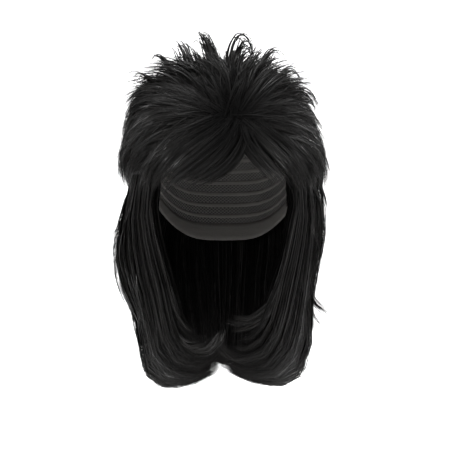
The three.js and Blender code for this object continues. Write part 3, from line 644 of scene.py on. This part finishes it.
def crown_ways(count, rng):
    """Ways of the short layers from roots all over the crown, cut at the arch in front and at the hem."""
    lowest_root = np.radians(-46)
    azimuth = rng.uniform(0, 2 * np.pi, count)
    z = rng.uniform(np.sin(lowest_root), 0.999, count)
    level = np.sqrt(1 - z * z)
    rays = np.stack([np.sin(azimuth) * level, -np.cos(azimuth) * level, z], -1)
    near = rng.random(count) < 0.22
    bearing = rng.uniform(-2.2, 2.2, count)
    out = rng.uniform(3, 42, count)
    spread = np.stack([np.sin(bearing) * out, 0 * out, np.cos(bearing) * out], -1)
    rays[near] = unit(WHORL - CROWN_CENTRE + spread)[near]
    length = rng.uniform(62, 104, count) + 34 * ease(rays[:, 1], 0.1, 0.9) * rng.random(count)
    ways = combed(rays, length, CROWN_STEPS, rng.normal(0, 0.16, count), rng)
    share = np.linspace(0, 1, CROWN_STEPS)
    feather = np.where(rng.random(count) < 0.3, rng.uniform(3, 7, count), rng.uniform(-2, 3.5, count))
    around = np.degrees(np.arctan2(ways[..., 0], -ways[..., 1]))
    behind = ease(np.abs(around), 80, 180)
    flare = 5 * np.abs(ways[..., 0]) ** 2 * share
    tuck = (7 - 6 * behind) * ease(-crown_point(ways)[..., 2], 80, 108)
    ways = crown_point(ways, -7 + (7 + feather)[:, None] * share**1.2 + flare - tuck)
    lower_right = 14 * np.exp(-(((around - 85) / 35) ** 2))
    hem = -93 - 40 * behind - lower_right - rng.normal(0, 1, count)[:, None] * (9 + 19 * behind)
    bad = in_front_arch(ways) | (ways[..., 2] < hem)
    keep = np.where(bad.any(1), bad.argmax(1), CROWN_STEPS)
    long_enough = np.flatnonzero(keep >= 6)
    cut = [ways[i, np.linspace(0, keep[i] - 1, CROWN_STEPS).astype(int)] for i in long_enough]
    return evenly(np.stack(cut), CROWN_STEPS)


def make_crown():
    """The feathered short layers, in four meshes round the crown."""
    rng = np.random.default_rng(21)
    ways = crown_ways(1540, rng)
    around = np.degrees(np.arctan2(ways[:, 7, 0], -ways[:, 7, 1]))
    parts = {
        "crown_front": np.abs(around) < 52,
        "crown_left": (around <= -52) & (around > -128),
        "crown_right": (around >= 52) & (around < 128),
        "crown_back": np.abs(around) >= 128,
    }
    for name, here in parts.items():
        locks = ways[here]
        wide = rng.uniform(7, 15, len(locks))
        strands = tress(locks, 16, wide, wide * 0.4, rng, steps=9, short=0.3, stray=0.7, thick=0.58)
        hair_piece(name, "crown_layers", [strands])


def make_crown_core():
    """The closed dome of hair under the short layers, cut along the arch in front and along the hem."""
    turn = np.arange(0, 360, 4.0)
    tilt = np.arange(88, -66, -1.0)
    ray = direction(turn[None], tilt[:, None])
    p = crown_point(ray, -8.0)
    around = np.minimum(turn, 360 - turn)
    over = in_front_arch(p + (0, 0, 3)) | (p[..., 2] < -80 - 22 * ease(around, 80, 180))
    rim = tilt[over.argmax(0)]
    for _ in range(2):
        rim = (np.roll(rim, 1) + 2 * rim + np.roll(rim, -1)) / 4
    rows = direction(turn[None], 89.5 + (rim - 89.5) * np.linspace(0, 1, 36)[:, None])
    ridge = 0.8 * np.sin(turn * 0.9) * np.sin(turn * 2.3)
    outer = crown_point(rows, -8 + ridge, 7.0)
    shell("crown_core", "crown_layers", outer, 3.5, packed_hair, closed=True)


def fan_tips(rng, count, shortest, longest):
    """Tips spread along the edge of the fan above the whorl, from one share of the way out to another."""
    table = np.array(FAN_TIPS, float)
    spot = rng.uniform(0, len(table) - 1.001, count)
    i, f = spot.astype(int), (spot % 1)[:, None]
    tip = table[i] * (1 - f) + table[i + 1] * f
    tip = tip + rng.normal(0, 2, tip.shape)
    fuller = 0.12 * ease(np.abs(tip[:, :1]), 40, 75) * ease(tip[:, 1:], -25, 5)
    whorl = WHORL[[0, 2]]
    tip = whorl + (tip - whorl) * (rng.uniform(shortest, longest, (count, 1)) + fuller)
    back = rng.uniform(-34, 26, count) - 8 * np.cos(tip[:, 0] / 60)
    return np.stack([np.clip(tip[:, 0], *FAN_REACH), back, tip[:, 1]], -1)


def tuft_ways(rng):
    """Ten ways for each standing tuft, from under the layers over its root to its hooked tip."""
    root = np.array([row[0] for row in STANDING_TUFTS], float)
    tip = np.array([row[1] for row in STANDING_TUFTS], float)
    wide = np.array([row[2] for row in STANDING_TUFTS], float)
    lead = crown_point(unit(root + (WHORL - root) * 0.35 - CROWN_CENTRE), -4.0)
    seat = crown_point(unit(root - CROWN_CENTRE), 1.0)
    middle = (root + tip) / 2 + outward((root + tip) / 2) * 2
    hook = tip + np.stack([np.sign(tip[:, 0]) * 4, 3 + 0 * wide, -3 - np.abs(tip[:, 0]) * 0.05], -1)
    rows = np.stack([lead, seat, middle, tip + (0, 0, 1.5), hook], 1)
    rows = np.repeat(rows, 10, axis=0)
    apart = np.repeat(wide, 10)[:, None] * rng.normal(0, 0.28, (len(rows), 3))
    rows = rows + apart[:, None] * np.array([1, 0.9, 0.7, 0.55, 0.7])[:, None]
    rows[:, 3:] += rng.normal(0, 2, (len(rows), 1, 3))
    rows[:, 4] += np.sign(rows[:, 4]) * (1, 0, -1) * rng.uniform(0, 6, (len(rows), 1)) * (1, 0, 1)
    return smooth_curve(rows, 16)


def loose_tips(rng, count):
    """Tips of loose hair that stands up all over the crown behind the fan."""
    turn = rng.uniform(0, 2 * np.pi, count)
    tilt = np.arccos(rng.uniform(0.25, 1, count))
    ray = np.stack([np.sin(turn) * np.sin(tilt), -np.cos(turn) * np.sin(tilt), np.cos(tilt)], -1)
    tips = crown_point(ray, rng.uniform(8, 26, count) * np.interp(tilt, [0.4, 1.3], [1, 0.35]))
    return tips[tips[:, 1] > -20]


def arched_ways(rng):
    """Six ways for each arched wisp, which part toward its tip."""
    ways = np.repeat([smooth_curve([row], 16)[0] for row in ARCHED_WISPS], 6, axis=0)
    aside = rng.normal(0, 1.3, (len(ways), 1, 3))
    parting = rng.normal(0, 0.8, (len(ways), 1, 3)) * np.linspace(0, 3, 16)[:, None]
    return ways + aside + parting


def make_top_tufts():
    """The standing tufts, the fan above the whorl, loose hair behind it and single arched wisps."""
    rng = np.random.default_rng(5)
    tufts = tuft_ways(rng)
    n = 225
    tips = fan_tips(rng, n, 0.58, 0.84)
    fan = standing(tips, rng.uniform(48, 95, n), rng.uniform(1, 12, n), rng.normal(0, 5, n), rng)
    k = 560
    tips = fan_tips(rng, k, 0.78, 1.0)
    arcs = standing(tips, rng.uniform(40, 80, k), 9 + 20 * rng.random(k), rng.normal(0, 7, k), rng, 18)
    tips = loose_tips(rng, 150)
    m = len(tips)
    loose = standing(tips, rng.uniform(34, 60, m), rng.uniform(2, 12, m), rng.normal(0, 6, m), rng)
    wisps = arched_ways(rng)
    hair_piece("top_tufts_strands", "top_tufts", [
        tress(tufts, 6, 1.8, 1.4, rng, 12, (1.4, 1.0, 0.4), 0.25, 0.3, 0.66),
        tress(fan, 17, rng.uniform(4, 10, n), 4.0, rng, 10, (0.9, 1.0, 0.4), 0.35, 0.9, 0.5),
        tress(arcs, 4, rng.uniform(0.4, 1.4, k), 0.5, rng, 14, (1.2, 1.0, 0.7), 0.12, 0.2, 0.8),
        tress(loose, 14, rng.uniform(4, 9, m), 3.0, rng, 10, (0.9, 1.0, 0.3), 0.3, 0.7, 0.6),
        tress(wisps, 6, 1.2, 0.9, rng, 15, (1.2, 1.0, 0.6), 0.1, 0.2, 0.95),
    ])


def make_fringe(side):
    """One half of the fringe: thin wisps by the parting and fuller locks beside them."""
    rng = np.random.default_rng(11 + side)
    table = np.array(FRINGE_LEFT if side < 0 else FRINGE_RIGHT, float)
    n = 122 if side < 0 else 76
    spread = (len(table) - 1) * rng.random(n) ** 1.25
    i = np.minimum(spread.astype(int), len(table) - 2)
    f = (spread - i)[:, None, None]
    rows = table[i] * (1 - f) + table[i + 1] * f
    lift = rng.uniform(-4.5, 0.5, n)[:, None] + np.array([-6, -1.5, 0, 0.5, 1, 1.5])
    rows = rows + rng.normal(0, 1, (n, 1, 2)) * (3, 2)
    guides = smooth_curve(front_point(rows[..., 0], rows[..., 1], lift), 20)
    guides = hang(guides, rng.uniform(0, 0.12, n), rng.uniform(0.78, 1, n))
    thin, full = guides[spread < 1.6], guides[spread >= 1.6]
    wide = rng.uniform(0.8, 2.6, len(thin))
    wisps = tress(thin, 9, wide, 1.4, rng, 12, (1.3, 1.0, 0.5), 0.4, 0.5, 0.6, 0.62)
    wide = rng.uniform(3, 8, len(full))
    locks = tress(full, 26, wide, 1.6, rng, 10, (1.0, 0.9, 0.2), 0.4, 0.5, 0.5, 0.6)
    name = "fringe_left" if side < 0 else "fringe_right"
    hair_piece(name + "_strands", name, [wisps, locks])


def side_guides(side):
    """The guides of one long side, from its inner edge round to the back, all with as many points."""
    table = np.array(SIDE_LEFT if side < 0 else SIDE_RIGHT, float)
    rows = [front_point(row[:, 0], row[:, 1]) for row in table]
    share = np.linspace(0, 1, table.shape[1])
    for turn in (88, 103, 118, 133):
        z = -76 - (np.interp(turn, LONG_HEM[:, 0], LONG_HEM[:, 1]) + 8 - 76) * share
        rows.append(mass_point(side * (turn - 5 * share**2), z))
    return smooth_curve(np.array(rows), 24)


def between(guides, s):
    """Guides at places s in the row of guides, each mixed from its two neighbours."""
    i = np.minimum(s.astype(int), len(guides) - 2)
    f = (s - i)[:, None, None]
    return guides[i] * (1 - f) + guides[i + 1] * f


def hang(guides, first, last):
    """The stretch of each guide from one share of its length to another."""
    share = first[:, None] + (last - first)[:, None] * np.linspace(0, 1, LONG_STEPS)
    spot = share * (guides.shape[1] - 1)
    i = np.minimum(spot.astype(int), guides.shape[1] - 2)
    f = (spot - i)[..., None]
    k = np.arange(len(guides))[:, None]
    return guides[k, i] * (1 - f) + guides[k, i + 1] * f


def sunk(ways, depth, under_hem):
    """Ways moved into the mass, and tucked further in where they leave the short layers."""
    level = unit(ways * (1, 1, 0))
    tuck = 9 * (1 - ease(-ways[..., 2], under_hem - 8, under_hem + 22))
    return ways - level * (depth[:, None] + tuck)[..., None]


def make_side(side):
    """One long side: long locks, short ones that flick out, free ones and stray wisps, over a core."""
    rng = np.random.default_rng(31 + side)
    guides = side_guides(side)
    n = 380
    s = np.concatenate([rng.uniform(0, 1, 26), rng.uniform(1, len(guides) - 1.001, n - 26)])
    ends = 1 - rng.random(n) * np.interp(s, [4.5, 7], [0.05, 0.13])
    ways = hang(between(guides, s), 0 * s, ends)
    depth = 1 + 15 * rng.random(n) ** 1.3
    depth = depth * np.interp(s, [0, 1.5], [0.4, 1])
    ways = sunk(ways, depth, SIDE_HEM)
    wide = np.interp(s, [0, 1, 2], [4, 7, 11]) * rng.uniform(0.7, 1.35, n)
    # Painted shade: the locks darken toward the inner edge of the side, by the opening for the face.
    tone_and_shade = np.interp(s, [0, 3], [0.28, 0.48])
    long_locks = tress(ways, 13, wide, wide * 0.45, rng, 11, (0.8, 1.0, 0.2), 0.07, 0.8, 0.7, tone_and_shade)
    m = 60
    s = rng.uniform(2.0, len(guides) - 1.001, m)
    first = rng.uniform(0.02, 0.45, m)
    short = hang(between(guides, s), first, first + rng.uniform(0.14, 0.26, m))
    flick = np.linspace(0, 1, LONG_STEPS) ** 2.5 * (1 + 11 * rng.random(m) ** 2)[:, None]
    short = sunk(short, 3 + 0 * s, SIDE_HEM) + unit(short * (1, 1, 0)) * flick[..., None]
    short_locks = tress(short, 10, 8.0, 3.0, rng, 8, (0.6, 1.0, 0.12), 0.3, 0.8)
    m = 46
    s = rng.uniform(3.2, 6.0, m)
    first = rng.uniform(0.0, 0.25, m)
    free = hang(between(guides, s), first, first + rng.uniform(0.22, 0.36, m))
    bow = np.sin(np.linspace(0, np.pi * 0.95, LONG_STEPS)) * rng.uniform(1, 5, m)[:, None]
    free = sunk(free, 1 + 0 * s, SIDE_HEM) + unit(free * (1, 1, 0)) * bow[..., None]
    free_locks = tress(free, 5, 3.0, 1.5, rng, 10, (0.6, 1.0, 0.3), 0.2, 0.8, 0.6)
    table = np.repeat(np.array(SIDE_WISPS_LEFT if side < 0 else SIDE_WISPS_RIGHT, float), 6, axis=0)
    aside = rng.normal(0, 1.2, (len(table), 1, 2))
    parting = rng.normal(0, 0.45, (len(table), 1, 2)) * np.arange(5)[:, None]
    table = table + aside + parting
    wisps = smooth_curve(front_point(table[..., 0], table[..., 1], np.linspace(-6, 1, 5)[None]), 20)
    stray_wisps = tress(wisps, 6, 1.6, 1.0, rng, 12, (1.0, 1.0, 0.6), 0.1, 0.4, 0.75, 0.65)
    name = "side_hair_left" if side < 0 else "side_hair_right"
    hair_piece(name + "_strands", name, [long_locks, short_locks, free_locks, stray_wisps])
    rows = hang(guides[1:], np.full(len(guides) - 1, 0.06), np.full(len(guides) - 1, 0.9))
    rows = sunk(rows, np.full(len(rows), 8.0), SIDE_HEM)
    shell(name + "_core", name, evenly(rows, 30)[::side], 4.0, packed_hair)


def make_back():
    """The long back: locks of several lengths over a core."""
    rng = np.random.default_rng(41)
    n = 400
    turn = rng.uniform(98, 262, n)
    from_front = np.where(turn > 180, 360 - turn, turn)
    hem = np.interp(from_front, LONG_HEM[:, 0], LONG_HEM[:, 1]) + rng.normal(0, 4, n)
    start = np.where(rng.random(n) < 0.7, 92, rng.uniform(110, 190, n))
    end = np.where(rng.random(n) < 0.72, hem, rng.uniform(220, 288, n))
    share = np.linspace(0, 1, LONG_STEPS)
    z = -(start[:, None] + (end - start)[:, None] * share)
    sway = rng.normal(0, 3, n)[:, None] * np.sin(share * 2.4 + rng.uniform(0, 6, n)[:, None])
    ways = mass_point(turn[:, None] + sway, z)
    depth = 1 + 18 * rng.random(n) ** 1.4
    ways = sunk(ways, depth, BACK_HEM)
    wide = rng.uniform(9, 18, n)
    # Painted shade: the deeper a lock lies in the mass, the darker its tone, standing in for the shadow among
    # the locks.
    locks = tress(ways, 17, wide, wide * 0.4, rng, 9, (0.8, 1.0, 0.35), 0.1, 1.0, 0.75, 0.62 - depth * 0.032)
    hair_piece("back_strands", "back_hair", [locks])
    turn = np.linspace(258, 102, 30)[:, None]
    hem = np.interp(np.minimum(turn, 360 - turn), LONG_HEM[:, 0], LONG_HEM[:, 1])
    hem = hem - 11 + 2 * np.sin(turn * 0.9)
    rows = mass_point(turn, -(100 + (hem - 100) * np.linspace(0, 1, 24)))
    shell("back_core", "back_hair", sunk(rows, np.full(30, 9.0), BACK_HEM), 4.0, packed_hair)


# the cap
def cap_point(turn, tilt, off):
    """A place so far off the cap's form, by degrees round from the front and down from the crown."""
    s, t = np.radians(turn), np.radians(tilt)
    along = np.where(np.cos(s) > 0, CAP_FRONT, CAP_BACK) + off
    x = (CAP_HALF_WIDTH + off) * np.sin(s) * np.sin(t)
    y = -along * np.cos(s) * np.sin(t)
    return np.stack([x, y, (CAP_HEIGHT + off) * np.cos(t) - CAP_HEIGHT + 0 * x], -1)


NET_CELLS = 74.0
# The cap's rim: how far down it lies, by places from front to back.
RIM = np.array([(-91, -46), (-78, -46), (-45, -84), (-11, -106), (29, -106), (70, -146), (97, -150)], float)


def rim_tilt(turn):
    """How far down the cap's rim lies, in degrees from the crown."""
    tilts = np.linspace(40, 140, 401)
    p = cap_point(np.asarray(turn, float)[:, None], tilts[None], 0.8)
    under = p[..., 2] < np.interp(p[..., 1], RIM[:, 0], RIM[:, 1])
    rim = tilts[np.where(under.any(1), under.argmax(1), 400)]
    for _ in range(24):
        rim = (np.roll(rim, 1) + 2 * rim + np.roll(rim, -1)) / 4
    return rim


def make_net():
    """An elastic net of threads that cross at a slant."""
    shader = Shader("stretch_net")
    place = shader.place()
    x, y, z = (shader.node("ShaderNodeSeparateXYZ", None, place, out=axis) for axis in "XYZ")
    around = x.maths("ARCTAN2", x, y) * (NET_CELLS / np.pi)
    height = z * (NET_CELLS / np.pi / (CAP_HALF_WIDTH * MM))
    cells = [(around + height) % 1.0, (around - height + 1000.0) % 1.0]
    offsets = [cell - 0.5 for cell in cells]
    thread = place.maths("MAXIMUM", *[offset * offset * 4 for offset in offsets]) ** 3
    colour = shader.blend(thread, (0.018, 0.0175, 0.017, 1), (0.15, 0.142, 0.134, 1))
    return shader.finish(
        Base_Color=colour,
        Roughness=0.85 - thread * 0.15,
        Normal=shader.bump(thread, 0.6, 0.0006),
    )


def make_tape():
    """The ribbed tape of the cap's edge and of its rows of sewn hair."""
    shader = Shader("weft_tape")
    place = shader.place()
    ribs = shader.node(
        "ShaderNodeTexWave", {"bands_direction": "Z"}, Vector=place, Scale=260.0, Distortion=1.5, Detail=2.0
    )
    fray = shader.noise(place, 900.0)
    colour = shader.blend(ribs * 0.6 + fray * 0.4, (0.022, 0.021, 0.02, 1), (0.13, 0.122, 0.114, 1))
    return shader.finish(
        Base_Color=colour,
        Roughness=0.7 + fray * 0.2,
        Normal=shader.bump(ribs, 0.5, 0.0005),
    )


def make_cap():
    """The cap: a net, a band along its rim and thirteen rows of sewn tape."""
    net, tape = make_net(), make_tape()
    steps = 144
    turn = np.arange(steps) * 360 / steps
    rim = rim_tilt(turn)
    share = np.concatenate([[0.02], np.linspace(0.06, 1, 30)])[:, None]
    outer = cap_point(turn[None], rim * share, 1.5)
    inner = cap_point(turn[None], rim * share, 0.9)
    sheet_mesh("cap_net", "cap", outer, inner, net)
    band = np.linspace(1, 0.9, 5)[:, None]
    swell = np.array([0.0, 0.5, 0.6, 0.5, 0.0])[:, None]
    outer = cap_point(turn[None], rim * band, 1.5 + 0 * swell)
    inner = cap_point(turn[None], rim * band, 0.7 - swell)
    sheet_mesh("cap_edge_band", "cap", outer, inner, tape)
    stitch = 0.12 * np.sin(turn * 1.9)
    height = np.linspace(-0.011, 0.011, 4)[:, None]
    puff = np.array([0.0, 0.55, 0.55, 0.0])[:, None]
    for i, at in enumerate(np.linspace(0.16, 0.86, 13)):
        tilt = rim * (at + height) + stitch
        outer = cap_point(turn[None], tilt, 1.0 + 0 * puff)
        inner = cap_point(turn[None], tilt, 0.85 - puff)
        sheet_mesh(f"cap_weft_{i + 1}", "cap", outer, inner, tape)


# floor, light and camera
def make_studio():
    """A sweep of pale paper, an even white surround and six soft lamps."""
    shader = Shader("pale_paper")
    paper = shader.finish(Base_Color=(0.97, 0.97, 0.97, 1), Roughness=0.9, Specular_IOR_Level=0.1)
    floor, wall, bend, half = -0.43, 3.4, 0.9, 16
    profile = [(-half, floor), (wall - bend, floor)]
    for a in np.linspace(0.1, 1.57, 12):
        profile.append((wall - bend + bend * np.sin(a), floor + bend * (1 - np.cos(a))))
    profile.append((wall, 4.5))
    points = [(x, y, z) for x in (-half, half) for y, z in profile]
    n = len(profile)
    mesh = bpy.data.meshes.new("paper_sweep")
    mesh.from_pydata(points, [], [(i, i + n, i + n + 1, i + 1) for i in range(n - 1)])
    mesh.materials.append(paper)
    mesh.shade_smooth()
    sweep = bpy.data.objects.new("paper_sweep", mesh)
    bpy.context.scene.collection.objects.link(sweep)
    world = bpy.data.worlds.new("studio")
    world.use_nodes = True
    world.node_tree.nodes["Background"].inputs["Color"].default_value = (1, 1, 1, 1)
    world.node_tree.nodes["Background"].inputs["Strength"].default_value = 0.48
    bpy.context.scene.world = world
    soft_light("overhead", (-0.2, -0.1, 1.9), 0.6, 60)
    soft_light("left", (-1.7, -0.8, 0.6), 0.6, 58)
    soft_light("right", (1.7, -0.7, 0.5), 0.6, 56)
    soft_light("front", (-0.3, -2.2, 0.3), 0.8, 10)
    soft_light("behind", (0.9, 2.1, 1.1), 0.7, 40)
    soft_light("backdrop", (0, 1.4, 2.4), 1.5, 60, (0, 3.4, -0.2))
    bpy.context.scene.view_settings.view_transform = "Standard"


def soft_light(name, at, size, power, aim=(0, 0, -0.12)):
    data = bpy.data.lights.new(name, "AREA")
    data.size, data.energy = size, power
    lamp = bpy.data.objects.new(name, data)
    lamp.location = at
    lamp.rotation_euler = (Vector(aim) - Vector(at)).to_track_quat("-Z", "Y").to_euler()
    bpy.context.scene.collection.objects.link(lamp)


def make_camera():
    data = bpy.data.cameras.new("camera")
    distance, across = 1.9, 0.466
    data.sensor_fit, data.sensor_width = "HORIZONTAL", 36.0
    data.lens = 36.0 * (distance - 0.045) / across
    camera = bpy.data.objects.new("camera", data)
    camera.location = (0.009, -distance, -0.140)
    camera.rotation_euler = (np.pi / 2, 0, 0)
    bpy.context.scene.collection.objects.link(camera)
    bpy.context.scene.camera = camera


make_camera()
make_cap()
make_crown()
make_crown_core()
make_top_tufts()
make_fringe(-1)
make_fringe(1)
make_side(-1)
make_side(1)
make_back()
make_studio()
